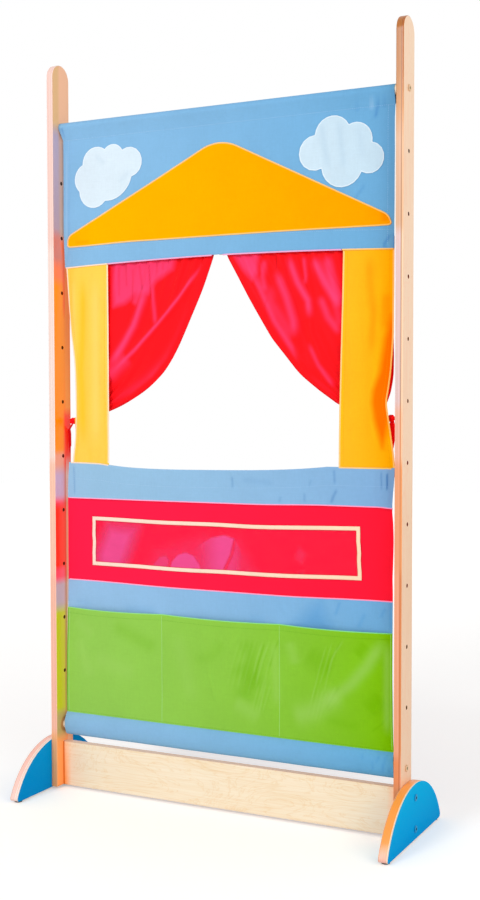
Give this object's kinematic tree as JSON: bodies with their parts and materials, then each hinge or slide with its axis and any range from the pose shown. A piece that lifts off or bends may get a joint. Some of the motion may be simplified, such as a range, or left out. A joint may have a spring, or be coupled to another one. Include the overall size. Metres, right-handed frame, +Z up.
{
  "type": "puppet theater stand",
  "caption": "Free-standing puppet theater: wooden uprights on half-moon feet, and a cloth front on two rods with a stage window, tied-back curtains and puppet pockets.",
  "frame": {"origin": "centre of the footprint, on the floor", "axes": "+X to the right as the audience sees it, +Y towards the puppeteer behind, +Z up"},
  "size_m": [0.814, 0.2936, 1.505],
  "materials": {
    "birch": "satin lacquer on birch plywood",
    "pale_birch": "satin lacquer on birch plywood",
    "beech": "sanded dowel",
    "blue_laminate": "smooth laminate",
    "black_plastic": "moulded",
    "steel": "zinc plated",
    "brass": "machined",
    "sky_cloth": "plain weave cotton",
    "cloud_cloth": "plain weave cotton",
    "orange_cloth": "plain weave cotton",
    "cream_tape": "woven tape",
    "yellow_cloth": "plain weave cotton",
    "red_satin": "satin",
    "red_cloth": "plain weave cotton",
    "green_cloth": "plain weave cotton",
    "clear_film": "clear film"
  },
  "bodies": {
    "stand": {"banner": "sky_cloth", "bottom_rail": "pale_birch", "card_window": "clear_film", "card_window_tape": "cream_tape", "gable": "orange_cloth", "gable_piping": "cream_tape", "hem_sleeve": "sky_cloth", "left_cloud": "cloud_cloth", "left_foot": "pale_birch", "left_foot_inner_skin": "blue_laminate", "left_foot_outer_skin": "blue_laminate", "left_front_glide": "black_plastic", "left_heading_tape": "cream_tape", "left_lower_barrel_nut": "steel", "left_lower_foot_bolt": "steel", "left_lower_rod_bolt": "steel", "left_lower_rod_insert": "brass", "left_rear_glide": "black_plastic", "left_strip": "yellow_cloth", "left_tie_loop": "yellow_cloth", "left_upper_barrel_nut": "steel", "left_upper_foot_bolt": "steel", "left_upper_rod_bolt": "steel", "left_upper_rod_insert": "brass", "left_upright": "birch", "lower_rod": "beech", "pocket_backing": "sky_cloth", "pocket_front": "green_cloth", "red_band": "red_cloth", "right_cloud": "cloud_cloth", "right_foot": "pale_birch", "right_foot_inner_skin": "blue_laminate", "right_foot_outer_skin": "blue_laminate", "right_front_glide": "black_plastic", "right_heading_tape": "cream_tape", "right_lower_barrel_nut": "steel", "right_lower_foot_bolt": "steel", "right_lower_rod_bolt": "steel", "right_lower_rod_insert": "brass", "right_rear_glide": "black_plastic", "right_strip": "yellow_cloth", "right_tie_loop": "yellow_cloth", "right_upper_barrel_nut": "steel", "right_upper_foot_bolt": "steel", "right_upper_rod_bolt": "steel", "right_upper_rod_insert": "brass", "right_upright": "birch", "upper_rod": "beech", "waist_band": "sky_cloth"},
    "left_curtain": {"left_curtain": "red_satin", "left_tie": "red_satin"},
    "right_curtain": {"right_curtain": "red_satin", "right_tie": "red_satin"}
  },
  "joints": [
    {"name": "left_curtain_swing", "type": "hinge", "parent": "stand", "child": "left_curtain", "pos_m": [-0.1915, 0.0031, 1.1125], "axis": [1, 0, 0], "range_deg": [0, 6]},
    {"name": "right_curtain_swing", "type": "hinge", "parent": "stand", "child": "right_curtain", "pos_m": [0.1735, 0.0031, 1.1125], "axis": [1, 0, 0], "range_deg": [0, 6]}
  ]
}
